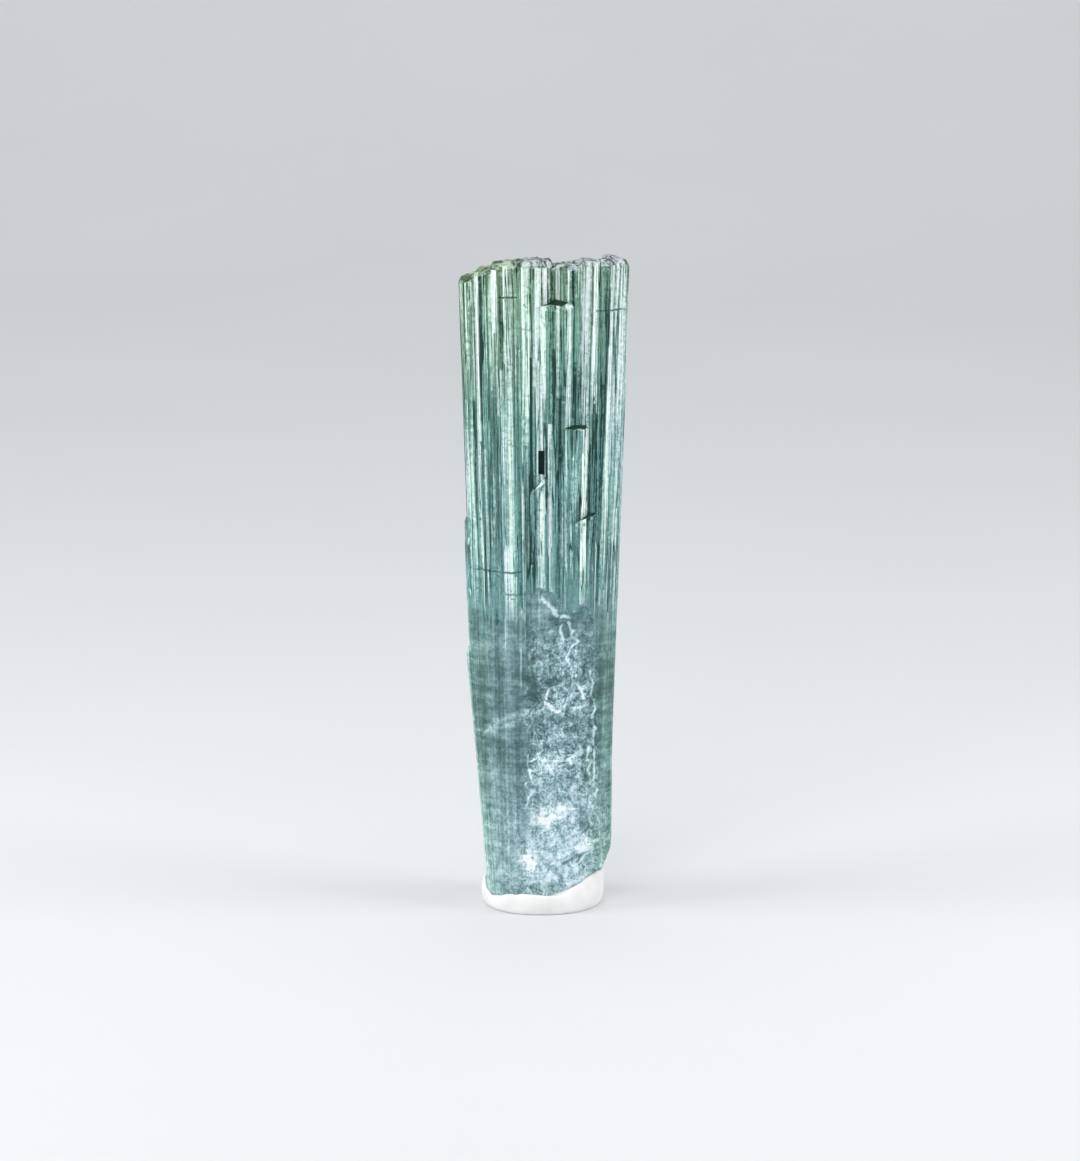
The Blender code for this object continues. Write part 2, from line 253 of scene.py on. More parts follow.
# Softboxes: name, place, target, width, height and power.
SOFTBOXES = [
    ("left", (-0.17, -0.04, 0.115), (0.0, 0.0, 0.115), 0.10, 0.22, 0.22),
    ("right", (0.17, -0.04, 0.115), (0.0, 0.0, 0.115), 0.10, 0.22, 0.22),
    ("front", (-0.14, -0.38, 0.22), (0.0, 0.0, 0.03), 0.25, 0.25, 0.68),
    ("overhead", (0.0, 0.15, 0.8), (0.0, 0.15, 0.0), 1.0, 1.0, 3.5),
]

# The camera: its tilt down, in degrees, and its distance from the point that it looks at.
CAMERA_TILT = 11
CAMERA_DISTANCE = 0.302
TARGET_X = -0.00027
TARGET_HEIGHT = 0.0239


class Rod(NamedTuple):
    """One rod of the bundle: its place in the plan at the crown, how it ends, and how far
    its foot has moved across and in."""

    x: float
    y: float
    radius: float
    top: float
    slope_x: float
    slope_y: float
    shoulder: float  # height of the bevel round its top
    drift: float = 0.0
    sink: float = 0.0


RING_RODS = [
    Rod(-4.95, -1.45, 1.14, 46.3, 0.30, 0.10, 0.30),
    Rod(-3.85, -2.15, 1.22, 46.9, 0.22, 0.05, 0.40),
    Rod(-2.5, -2.7, 1.38, 47.3, 0.12, 0.04, 0.35),
    Rod(-0.75, -2.85, 1.42, 47.5, 0.00, 0.02, 0.50),
    Rod(0.65, -2.45, 1.05, 46.9, -0.05, 0.00, 0.25),
    Rod(1.8, -2.8, 1.15, 47.2, 0.05, 0.03, 0.40),
    Rod(3.0, -2.6, 1.15, 47.4, 0.04, 0.05, 0.30),
    Rod(4.05, -2.2, 1.05, 47.4, 0.05, 0.02, 0.40),
    Rod(4.95, -1.35, 1.13, 47.5, -0.12, -0.05, 0.55),
    Rod(4.4, 0.0, 1.15, 46.8, -0.05, -0.10, 0.40),
    Rod(3.4, 1.2, 1.25, 46.2, 0.00, -0.14, 0.35),
    Rod(2.35, 2.25, 1.15, 46.7, 0.00, -0.08, 0.45),
    Rod(1.2, 3.0, 1.15, 45.6, 0.05, -0.15, 0.35),
    Rod(0.0, 3.45, 1.20, 46.4, 0.00, -0.12, 0.40),
    Rod(-1.25, 3.05, 1.15, 45.9, -0.04, -0.10, 0.35),
    Rod(-2.4, 2.15, 1.22, 46.5, 0.05, -0.12, 0.45),
    Rod(-3.45, 1.15, 1.15, 45.4, 0.08, -0.10, 0.35),
    Rod(-4.45, -0.1, 1.18, 46.1, 0.12, -0.05, 0.40),
]

INNER_RODS = [
    Rod(-2.9, -0.9, 1.75, 46.75, 0.10, 0.05, 0.25),
    Rod(-0.9, -1.3, 1.55, 47.15, 0.05, -0.04, 0.30),
    Rod(1.3, -1.2, 1.65, 46.85, -0.04, 0.03, 0.25),
    Rod(3.1, -0.8, 1.60, 47.1, 0.06, -0.05, 0.30),
    Rod(1.2, 1.2, 1.70, 46.6, 0.00, -0.10, 0.25),
    Rod(-1.3, 1.1, 1.75, 46.9, 0.03, -0.08, 0.30),
    Rod(0.0, 2.4, 1.20, 46.5, 0.00, -0.12, 0.25),
]

LEDGE_RODS = [
    Rod(0.78, -3.30, 1.48, 44.75, 0.05, 0.30, 0.40, 0.0, 0.9),
    Rod(2.36, -4.00, 0.95, 35.75, 0.00, 0.12, 0.15, 0.1, 1.3),
    Rod(3.15, -4.00, 1.00, 29.2, 0.34, 0.08, 0.20, 0.0, 1.5),
    Rod(-0.40, -4.00, 0.80, 31.7, 0.90, 0.10, 0.30, 0.2, 0.9),
    Rod(-5.30, -1.4, 0.98, 29.1, 0.35, 0.00, 0.25, 0.0, 0.1),
    Rod(-5.45, -0.9, 1.12, 19.5, 0.40, 0.05, 0.35, 0.0, 0.0),
    Rod(5.10, -0.75, 0.98, 40.6, -0.20, 0.05, 0.25, 0.0, 0.0),
    Rod(4.30, 0.85, 1.00, 33.2, -0.25, -0.10, 0.30, 0.0, -0.1),
    Rod(3.1, 2.20, 0.98, 42.3, -0.15, -0.20, 0.30, 0.0, -0.2),
    Rod(2.0, 3.10, 0.98, 26.4, -0.10, -0.20, 0.30, 0.0, -0.2),
    Rod(0.55, 3.80, 1.00, 37.4, 0.05, -0.30, 0.35, 0.0, -0.1),
    Rod(-0.9, 3.65, 0.95, 30.2, 0.10, -0.25, 0.30, 0.0, -0.1),
    Rod(-2.05, 2.95, 0.98, 41.0, 0.10, -0.20, 0.25, 0.0, -0.1),
    Rod(-3.25, 2.05, 1.02, 23.8, 0.20, -0.15, 0.30, 0.1, -0.1),
    Rod(-4.25, 0.90, 1.02, 35.1, 0.25, -0.10, 0.30, 0.0, 0.0),
]

RODS = RING_RODS + INNER_RODS + LEDGE_RODS

# The smoother foot, round from the left end of its front. The slice holds the corners of
# its front face.
FRONT_FACE = slice(2, 8)
FOOT_PLAN = [
    (-6.08, -1.2),
    (-5.6, -2.45),
    (-4.3, -3.4),
    (-2.7, -4.05),
    (-0.6, -4.25),
    (1.6, -4.15),
    (3.5, -3.8),
    (4.95, -3.0),
    (5.95, -1.95),
    (6.05, -0.95),
    (5.3, 0.75),
    (4.1, 2.25),
    (2.7, 3.5),
    (1.15, 4.4),
    (-0.3, 4.65),
    (-1.75, 4.15),
    (-3.3, 2.9),
    (-4.6, 1.4),
    (-5.7, -0.1),
]


# Shapes shared by the crystal's pieces


# Uneven numbers, so that neighbouring cells and seeds get unlike values.
SCATTER_WEIGHTS = np.array([12.9898, 78.233, 37.719, 19.117])
SCATTER_SEED = 4.31
SCATTER_SIZE = 43758.5453


def scattered(cells, seed):
    """A repeatable value from 0 to 1 for each row of whole numbers: what is left after the
    point of a large sine of their weighted sum."""
    weights = SCATTER_WEIGHTS[: cells.shape[-1]]
    spread = np.sin(cells @ weights + SCATTER_SEED * seed) * SCATTER_SIZE
    return spread - np.floor(spread)


def lumps(points, size, seed):
    """Smooth noise from 0 to 1: scattered values at the corners of a lattice whose cells
    are size across, blended between the corners by a smooth step."""
    scaled = points / size
    cell = np.floor(scaled)
    part = scaled - cell
    part = part * part * (3.0 - 2.0 * part)
    total = np.zeros(points.shape[:-1])
    for corner in itertools.product((0, 1), repeat=points.shape[-1]):
        weight = np.prod(np.where(np.array(corner) > 0, part, 1.0 - part), axis=-1)
        total += weight * scattered(cell + corner, seed)
    return total


def bundle_share(z):
    """Width of the bundle at height z, as a share of that at the crown."""
    return FOOT_SHARE + (1.0 - FOOT_SHARE) * z / CROWN


def carried(plan, z):
    """Points of the crown's plan carried to height z: the ends lean in below their bends
    with the square of their distance out, and then everything narrows by bundle_share."""
    x, y = plan[..., 0], plan[..., 1]
    low_left = np.maximum(0.0, 1.0 - z / LEFT_BEND) * np.maximum(0.0, -x / HALF_WIDTH) ** 2
    low_right = np.maximum(0.0, 1.0 - z / RIGHT_BEND) * np.maximum(0.0, x / HALF_WIDTH) ** 2
    share = bundle_share(z)
    x = (x + LEFT_LEAN * low_left + RIGHT_LEAN * low_right) * share
    return np.stack([x, y * share, z + 0.0 * x], axis=-1)


def middle_of(rod, z):
    """Middle of a rod at height z, in the plan: it leans in a straight line to its foot."""
    lean = 1.0 - np.maximum(z, 0.0) / rod.top
    return np.stack([rod.x + rod.drift * lean, rod.y + rod.sink * lean], axis=-1)


def rod_corners(rod):
    """Corners of a rod about its middle: each side is a line at about the radius from the
    middle, and the corners are where it meets the next. The rod's place seeds the draw."""
    chance = np.random.default_rng(int(1000 * (abs(rod.x) + 7 * abs(rod.y) + rod.radius)))
    turns = (np.arange(ROD_SIDES) + 0.5) * 2 * math.pi / ROD_SIDES
    reach = rod.radius * chance.uniform(0.94, 1.03, ROD_SIDES)
    next_turns, next_reach = np.roll(turns, -1), np.roll(reach, -1)
    cross = np.sin(next_turns - turns)
    x = (reach * np.sin(next_turns) - next_reach * np.sin(turns)) / cross
    y = (next_reach * np.cos(turns) - reach * np.cos(next_turns)) / cross
    return np.column_stack([x, y])


def ribbed(corners, strips, depth, chance):
    """An outline whose straight sides are split into narrow strips by steps at random
    places. The two edges of a strip lie at random depths inside the side, so that each
    strip has a tilt of its own. Gives the points, their inward directions and depths."""
    starts = np.roll(corners, 1, axis=0)
    along = corners - starts
    inward = np.stack([-along[:, 1], along[:, 0]], axis=-1)
    inward /= np.hypot(along[:, 0], along[:, 1])[:, None]
    even = np.arange(1, strips) / strips
    stray = chance.uniform(-RIB_WANDER, RIB_WANDER, (len(corners), strips - 1))
    cuts = even + stray / strips
    left = np.column_stack([np.zeros(len(corners)), cuts])
    right = np.column_stack([cuts, np.ones(len(corners))])
    left += RIB_STEP * (right - left)
    share = np.stack([left, right], axis=-1).reshape(len(corners), -1, 1)
    points = starts[:, None] + share * along[:, None]
    inward = np.broadcast_to(inward[:, None], points.shape)
    depths = chance.uniform(0.0, depth, share.shape[:2])
    return points.reshape(-1, 2), inward.reshape(-1, 2), depths.reshape(-1)


def ring_faces(levels, count):
    """Faces of a closed skin over rings of points: quads between one ring and the next, and
    a fan to a pole below and to one above."""
    low = np.arange(levels - 1)[:, None] * count + np.arange(count)
    side = np.arange(levels - 1)[:, None] * count + (np.arange(count) + 1) % count
    quads = np.stack([low, side, side + count, low + count], axis=-1).reshape(-1, 4)
    around = np.arange(count)
    ahead = (around + 1) % count
    bottom = np.stack([ahead, around, np.full(count, levels * count)], axis=-1)
    last = (levels - 1) * count
    top = np.stack([last + around, last + ahead, np.full(count, levels * count + 1)], axis=-1)
    return quads, bottom, top


def object_of(name, points, faces, tones=None):
    """A mesh object from points in millimetres, and the tone of each of its faces."""
    mesh = bpy.data.meshes.new(name)
    mesh.from_pydata((MM * points).tolist(), [], faces)
    if tones is not None:
        tone = mesh.attributes.new("tone", "FLOAT", "FACE")
        tone.data.foreach_set("value", np.asarray(tones, np.float32))
    made = bpy.data.objects.new(name, mesh)
    bpy.context.scene.collection.objects.link(made)
    return made


def skin(name, rings, side_tones):
    """A closed solid over rings of points, lowest first, with a tone for each side face."""
    levels, count = rings.shape[:2]
    poles = np.stack([rings[0].mean(axis=0), rings[-1].mean(axis=0)])
    quads, bottom, top = ring_faces(levels, count)
    points = np.concatenate([rings.reshape(-1, 3), poles])
    faces = quads.tolist() + bottom.tolist() + top.tolist()
    tones = np.concatenate([side_tones.reshape(-1), np.full(2 * count, TOP_TONE)])
    return object_of(name, points, faces, tones)


# The rods


def strip_tones(z, count, seed):
    """Tones of the strips between levels z: each strip has its own smooth noise along its
    length, and the steps between strips are painted dark, as shade in these narrow creases."""
    strip = np.arange(count) // 2
    middle = 0.5 * (z[1:] + z[:-1])
    spot = np.stack(np.broadcast_arrays(strip, middle[:, None] / TONE_LENGTH), axis=-1)
    tone = np.clip(0.5 + 1.5 * (lumps(spot, 1.0, seed) - 0.5), 0.0, 1.0)
    return np.where(np.arange(count) % 2 == 0, tone, 0.0)


def groove_shade(rod, spots, z):
    """How deep spots on a rod's side, at heights z, lie in the grooves it makes with its
    neighbours, which sets the shade painted there: 1 where a neighbour's side is met, and 0
    from GROOVE_REACH away."""
    gap = np.full(spots.shape[:-1], math.inf)
    for other in RODS:
        if other is not rod:
            away = np.linalg.norm(spots - middle_of(other, z), axis=-1) - other.radius
            gap = np.minimum(gap, np.where(z < other.top, away, math.inf))
    return np.clip(1.0 - gap / GROOVE_REACH, 0.0, 1.0)


def rod_solid(number, rod):
    """One rod: its ribbed outline carried up the taper. The ribs fade and come back in slow
    waves, and the outline shrinks over the bevel and the sloping, pitted top, where it
    turns towards a circle."""
    chance = np.random.default_rng(100 + number)
    points, inward, depths = ribbed(rod_corners(rod), RIB_STRIPS, RIB_DEPTH, chance)
    wave = chance.uniform(0.0, 2 * math.pi, len(points) // 2).repeat(2)
    length = chance.uniform(16.0, 60.0, len(points) // 2).repeat(2)
    neck = rod.top - rod.shoulder
    side = np.linspace(ROD_START, neck, max(3, int((neck - ROD_START) / ROD_STEP)))
    bevel = 1.0 - 0.6 * rod.shoulder / rod.radius
    cap_z = [rod.top - 0.35 * rod.shoulder, rod.top, rod.top, rod.top]
    cap_grow = [0.5 + 0.5 * bevel, bevel, 0.68 * bevel, 0.36 * bevel]
    z = np.concatenate([side, cap_z])[:, None]
    grow = np.concatenate([np.ones(len(side)), cap_grow])[:, None]
    fade = 0.55 + 0.45 * np.sin(wave + 2 * math.pi * z / length)
    outline = grow[..., None] * (points + inward * (depths * fade)[..., None])
    circle = outline / np.linalg.norm(outline, axis=-1, keepdims=True)
    circle = rod.radius * grow[..., None] * circle
    outline = np.where(grow[..., None] < 1.0, 0.3 * outline + 0.7 * circle, outline)
    plan = middle_of(rod, z) + outline
    tilted = outline @ np.array([rod.slope_x, rod.slope_y])
    pitted = np.where(grow < 1.0, PIT_DEPTH * (lumps(plan, PIT_SIZE, number) - 0.62), 0.0)
    rings = carried(plan, z + np.where(z >= neck, tilted, 0.0) + pitted)
    between = 0.5 * (plan[1:] + plan[:-1])
    between = 0.5 * (between + np.roll(between, -1, axis=1))
    # Painted shade: each strip's tone falls towards the grooves between the rods.
    groove = groove_shade(rod, between, 0.5 * (z[1:] + z[:-1]))
    tones = strip_tones(z[:, 0], len(points), number) * (1.0 - groove)
    tones[len(side) - 1 :] = TOP_TONE
    return skin(f"rod_{number:02d}", rings, tones)


def growth_strips(number, rods):
    """Thin raised strips on the outward sides of the rods. Each is a flat bar of four rings
    up its rod's side. Its ends narrow and sink, so that it starts and stops as a slanting
    wedge."""
    chance = np.random.default_rng(700 + number)
    corners = np.stack([rod_corners(rod) for rod in rods])
    starts = np.roll(corners, 1, axis=1)
    size = np.linalg.norm(corners - starts, axis=-1, keepdims=True)
    along = (corners - starts) / size
    out = np.stack([along[..., 1], -along[..., 0]], axis=-1)
    place = np.array([(rod.x, rod.y + 0.3) for rod in rods])[:, None]
    outward = (out * place).sum(axis=-1) > 0.4 * np.linalg.norm(place, axis=-1)
    rod, side = np.nonzero(outward & (chance.random(outward.shape) > 0.3))
    top = np.array([rod.top for rod in rods])[rod]
    low = chance.uniform(FOOT_TOP - 2.0, np.maximum(top - 6.0, FOOT_TOP - 1.0))
    high = np.minimum(low + chance.uniform(5.0, 22.0, len(low)), top - 0.8)
    half = chance.uniform(0.10, 0.34, len(low)) * size[rod, side, 0]
    rise = chance.uniform(0.03, 0.09, len(low))
    offset = chance.uniform(0.36, 0.64, len(low)) * size[rod, side, 0]
    tone = chance.random(len(low))
    long = high - low > 3.5 * STRIP_END
    rod, side, low, high, half, rise, offset, tone = (
        value[long] for value in (rod, side, low, high, half, rise, offset, tone))
    z = np.stack([low, low + STRIP_END, high - STRIP_END, high], axis=-1)[..., None]
    width = np.array(STRIP_WIDTHS)[:, None]
    sunk = np.where(width < 1.0, STRIP_SINK, 0.0)
    lift = np.where(sunk > 0.0, -sunk, rise[:, None, None])
    across = width * half[:, None, None] * np.array(STRIP_ACROSS)
    proud = np.array(STRIP_OUT)
    proud = np.where(proud > 0.0, lift, proud - sunk)
    base = starts[rod, side] + offset[:, None] * along[rod, side]
    bar = base[:, None, None] + across[..., None] * along[rod, side][:, None, None]
    bar = bar + proud[..., None] * out[rod, side][:, None, None]
    middles = np.stack([middle_of(rods[r], z[i]) for i, r in enumerate(rod)])
    points = carried(middles + bar, z + 0.0 * across)
    levels, round_ring = points.shape[1:3]
    first = levels * round_ring * np.arange(len(low))[:, None, None]
    quads, _, _ = ring_faces(levels, round_ring)
    ring = np.arange(round_ring)
    ends = np.stack([ring[::-1], (levels - 1) * round_ring + ring])
    faces = (first + quads).reshape(-1, 4).tolist() + (first + ends).reshape(-1, round_ring).tolist()
    tones = np.concatenate([tone.repeat(len(quads)), tone.repeat(len(ends))])
    return object_of(f"growth_strips_{number}", points.reshape(-1, 3), faces, tones)


# The smoother foot


def foot_solid():
    """The foot: its plan split into fine strips and carried up to an uneven ledge, with a
    slight waviness of lumps along its sides."""
    chance = np.random.default_rng(41)
    points, inward, depths = ribbed(np.array(FOOT_PLAN), FOOT_STRIPS, FOOT_DEPTH, chance)
    strip = np.arange(len(points))[:, None] // 2
    ledge = FOOT_TOP + 0.8 * np.sin(1.7 * points[:, 0] - 0.6) + 0.5 * np.sin(1.1 * points[:, 1])
    ledge = ledge + 2.6 * (scattered(strip.astype(float), 44) - 0.6)
    share = np.linspace(0.0, 1.0, int((FOOT_TOP - ROD_START) / FOOT_STEP))[:, None]
    z = ROD_START + share * (ledge - ROD_START)
    spot = np.stack(np.broadcast_arrays(points[:, 0], points[:, 1], 0.5 * z), axis=-1)
    dent = depths * (0.3 + 0.7 * lumps(spot, 2.5, 5)) + 0.07 * lumps(spot, 0.9, 6)
    rings = carried(points + inward * dent[..., None], z)
    levels = np.linspace(ROD_START, FOOT_TOP, len(share))
    return skin("foot", rings, 0.25 + 0.5 * strip_tones(levels, len(points), 43))


def foot_front(x, z):
    """Y of the foot's front face before it broke: straight from corner to corner."""
    share = bundle_share(z)
    corners = np.array(FOOT_PLAN[FRONT_FACE])
    return np.interp(x / share, corners[:, 0], corners[:, 1]) * share


# Cutters


def grid(first, second):
    """Two parameters over a grid. Each is given as its first and last value and a count."""
    return np.meshgrid(np.linspace(*first), np.linspace(*second), indexing="ij")


def cutter(name, sheet, axis, far, tone=BROKEN):
    """A closed block: a grid of points, walls from its border straight to the plane where
    the axis has the value far, and one flat face there. The tone is for the whole block or
    for each face of the grid."""
    rows, columns = sheet.shape[:2]
    index = np.arange(rows * columns).reshape(rows, columns)
    quads = np.stack([index[:-1, :-1], index[1:, :-1], index[1:, 1:], index[:-1, 1:]], axis=-1)
    border = np.concatenate([index[0, :-1], index[:-1, -1], index[-1, :0:-1], index[:0:-1, 0]])
    points = sheet.reshape(-1, 3)
    wall = points[border].copy()
    wall[:, axis] = far
    behind = rows * columns + np.arange(len(border))
    sides = np.stack([border, np.roll(border, -1), np.roll(behind, -1), behind], axis=-1)
    faces = quads.reshape(-1, 4).tolist() + sides.tolist() + [behind[::-1].tolist()]
    tones = np.full(len(faces), BROKEN)
    tones[: quads.size // 4] = np.broadcast_to(tone, quads.shape[:2]).reshape(-1)
    made = object_of(name, np.concatenate([points, wall]), faces, tones)
    shell = bmesh.new()
    shell.from_mesh(made.data)
    bmesh.ops.recalc_face_normals(shell, faces=shell.faces)
    shell.to_mesh(made.data)
    shell.free()
    return made


def base_height(x, y):
    """Height of the broken base: flat on the left, then rising to the right with the square
    of the distance, with low waves over all of it."""
    sweep = np.maximum(0.0, x - SWEEP_START)
    waves = 0.05 * np.sin(1.3 * x + 0.9 * y) + 0.03 * y
    return BASE_LEFT + SWEEP_RISE * sweep**2 + waves


def fine_base(x, y):
    """Height of the base with its grain, which is fine noise."""
    return base_height(x, y) + 0.10 * (lumps(np.stack([x, y], axis=-1), 0.5, 31) - 0.5)


def break_rim(x, z):
    """How far a point of the front lies inside the open rim of the broken patch: the least
    of its distances to the left, right and upper edges. These waver, the left one spreads
    out below 13 mm and the upper one falls to the right, and noise makes them ragged."""
    spot = np.stack([x, z], axis=-1)
    left = BREAK_LEFT - 0.14 * np.maximum(0.0, 13.0 - z) + 0.25 * np.sin(1.1 * z)
    right = BREAK_RIGHT + 0.12 * np.sin(0.9 * z)
    top = BREAK_TOP - 0.6 * (x - 0.2) + 0.3 * np.sin(2.6 * x)
    ragged = 0.9 * (lumps(spot, 1.3, 21) - 0.5) + 0.5 * (lumps(spot, 0.4, 25) - 0.5)
    return np.minimum(np.minimum(x - left, right - x), top - z) + ragged


def break_depth(x, z):
    """Y of the broken patch: shallow scoops inside the rim, covered with sugary grains,
    and slanting scallops towards the lower right."""
    rim = break_rim(x, z)
    inside = np.clip(rim, 0.0, 1.0)
    spot = np.stack([x, z], axis=-1)
    scoops = 0.14 * np.sin(1.7 * x + 0.55 * z) + 0.10 * np.sin(0.9 * x - 0.8 * z)
    grains = 0.13 * (lumps(spot, 0.6, 22) - 0.5) + 0.10 * (lumps(spot, 0.26, 23) - 0.5)
    low = np.clip((9.0 - z) / 3.0, 0.0, 1.0) * np.clip((x - 0.2) / 1.5, 0.0, 1.0)
    waves = z - 0.5 * x + 0.9 * lumps(spot, 2.2, 24)
    scallops = 0.20 * low * np.abs(np.sin(1.7 * waves))
    edge = 0.02 + 0.08 * (lumps(spot, 0.5, 26) - 0.5)
    depth = edge + (BREAK_DEPTH + scoops + scallops) * inside + grains * (0.3 + 0.7 * inside)
    return foot_front(x, z) + depth + 1.1 * np.minimum(rim, 0.0)


def vein_strength(x, z):
    """How strongly a white vein crosses points of the front: 1 along the middle of a route
    and 0 from its half width away, wavering and broken up by noise."""
    spot = np.stack([x, z], axis=-1)
    waver = np.stack([lumps(spot, 0.5, 51), lumps(spot, 0.5, 52)], axis=-1) - 0.5
    spot = spot + 0.6 * waver
    strength = np.zeros(x.shape)
    for half_width, route in VEINS:
        for start, end in itertools.pairwise(np.array(route)):
            along = end - start
            share = np.clip(((spot - start) @ along) / (along @ along), 0.0, 1.0)
            away = np.linalg.norm(spot - start - share[..., None] * along, axis=-1)
            strength = np.maximum(strength, 1.0 - away / half_width)
    patchy = 1.8 * lumps(spot, 0.5, 53) + 0.8 * lumps(spot, 0.2, 54) - 0.5
    return np.clip(1.3 * strength, 0.0, 1.0) * np.clip(patchy, 0.0, 1.0)


def break_cutter():
    """Everything in front of the broken patch, which stands out a little along the veins."""
    x, z = grid((-3.4, 5.2, 130), (-1.0, 24.5, 330))
    veins = vein_strength(x, z)
    sheet = np.stack([x, break_depth(x, z) - VEIN_RISE * veins, z], axis=-1)
    tone = BROKEN - 0.5 * (veins[1:, 1:] + veins[:-1, :-1])
    return cutter("break_cutter", sheet, axis=1, far=-12.0, tone=tone)


def base_cutter():
    """Everything below the broken base."""
    x, y = grid((-8.0, 8.0, 110), (-7.0, 7.0, 96))
    sheet = np.stack([x, y, fine_base(x, y)], axis=-1)
    return cutter("base_cutter", sheet, axis=2, far=-10.0)


def chip_cutter():
    """Everything to the right of the chip, a rough slope down and in from its upper edge."""
    share, y = grid((-0.3, 1.2, 14), (-6.0, 6.0, 40))
    x, z = (edge - run * share for edge, run in zip(CHIP_EDGE, CHIP_RUN))
    x = x + 0.12 * (lumps(np.stack([3 * share, y], axis=-1), 0.7, 33) - 0.5)
    return cutter("chip_cutter", np.stack([x, y, z], axis=-1), axis=0, far=11.0)


def etch_cutter():
    """Everything in front of the narrow slot just above the middle ledge rod."""
    x, z = grid((*SLOT_SIDES, 2), (*SLOT_HEIGHTS, 2))
    sheet = np.stack([x, np.full(x.shape, SLOT_FLOOR), z], axis=-1)
    return cutter("etch_cutter", sheet, axis=1, far=-7.0, tone=SLOT)


# The whole crystal


def apply_boolean(solid, operation, other):
    """Carries out one Boolean and keeps its result as the solid's mesh."""
    modifier = solid.modifiers.new("boolean", "BOOLEAN")
    modifier.operation = operation
    modifier.solver = "MANIFOLD"
    modifier.object = other
    graph = bpy.context.evaluated_depsgraph_get()
    result = bpy.data.meshes.new_from_object(solid.evaluated_get(graph))
    solid.modifiers.clear()
    solid.data = result


def fused(solid, others, operation):
    """Joins other solids to a solid, or cuts them from it, and removes them."""
    for other in others:
        apply_boolean(solid, operation, other)
        bpy.data.objects.remove(other)


def make_crystal():
    """The whole crystal as one closed solid: the foot, the rods and the growth strips joined,
    and then everything cut from them that has broken or been etched away."""
    crystal = foot_solid()
    groups = (RING_RODS[0::2], RING_RODS[1::2], LEDGE_RODS[0::2], LEDGE_RODS[1::2])
    fused(crystal, [rod_solid(n, rod) for n, rod in enumerate(RODS, start=1)], "UNION")
    fused(crystal, [growth_strips(n, group) for n, group in enumerate(groups)], "UNION")
    fused(crystal, [base_cutter(), break_cutter(), chip_cutter(), etch_cutter()], "DIFFERENCE")
    crystal.name = crystal.data.name = "striated_crystal"
    settle_tones(crystal)
    return crystal


def face_tone(faces, plan_x):
    """Tone of the face of the front that each plan x lies in."""
    starts, tones = np.array(faces).T
    return tones[np.clip(np.searchsorted(starts, plan_x, side="right") - 1, 0, None)]


def settle_tones(solid):
    """Draws the striated front three quarters of the way to the tones of its faces: those of
    the waist, those of the crown, and between their heights a blend with a wavy edge. These
    tones paint the pale faces, partly frost and partly painted highlight, and the dark faces
    as painted shade."""
    mesh = solid.data
    count = len(mesh.polygons)
    centres, normals = np.empty(3 * count), np.empty(3 * count)
    mesh.polygons.foreach_get("center", centres)
    mesh.polygons.foreach_get("normal", normals)
    x, _, z = centres.reshape(-1, 3).T / MM
    plan_x = x / bundle_share(z)
    tones = np.empty(count, np.float32)
    tone = mesh.attributes["tone"]
    tone.data.foreach_get("value", tones)
    above = z - WAIST_TOP + 1.5 * np.sin(3.7 * plan_x)
    high = np.clip(above / (CROWN_FOOT - WAIST_TOP), 0.0, 1.0)
    wanted = high * face_tone(CROWN_FACES, plan_x) + (1.0 - high) * face_tone(WAIST_FACES, plan_x)
    settled = (normals[1::3] < -0.3) & (z > FOOT_TOP - 1.0) & (tones >= 0.0) & (tones <= 1.0)
    tones[settled] = 0.25 * tones[settled] + 0.75 * wanted[settled]
    tone.data.foreach_set("value", tones)


# The putty pad


def beyond_foot(x, y):
    """How far points lie outside the crystal's outline just above its base: the distance to
    the nearest edge of the outline, negative inside."""
    corners = carried(np.array(FOOT_PLAN), np.full(len(FOOT_PLAN), 1.0))[:, :2]
    edges = np.roll(corners, -1, axis=0) - corners
    spot = np.stack([x, y], axis=-1)[..., None, :]
    share = ((spot - corners) * edges).sum(axis=-1) / (edges**2).sum(axis=-1)
    near = corners + np.clip(share, 0.0, 1.0)[..., None] * edges - spot
    distance = np.hypot(near[..., 0], near[..., 1]).min(axis=-1)
    left = edges[:, 0] * (spot - corners)[..., 1] - edges[:, 1] * (spot - corners)[..., 0]
    return np.where((left > 0.0).all(axis=-1), -distance, distance)


def pad_top(x, y):
    """Height of the putty: just under the grained base, with a lip round the foot that is
    highest on the left, and a low swell outside the foot."""
    beyond = beyond_foot(x, y)
    lip = PAD_LIP * np.clip((beyond - 0.1) / 0.5, 0.0, 1.0) * np.clip(0.4 - 0.25 * x, 0.0, 1.0)
    swell = 0.05 * np.sin(1.9 * x + 0.7) * np.sin(1.6 * y)
    return fine_base(x, y) - PAD_CONTACT + lip + swell * np.clip(beyond, 0.0, 1.0)


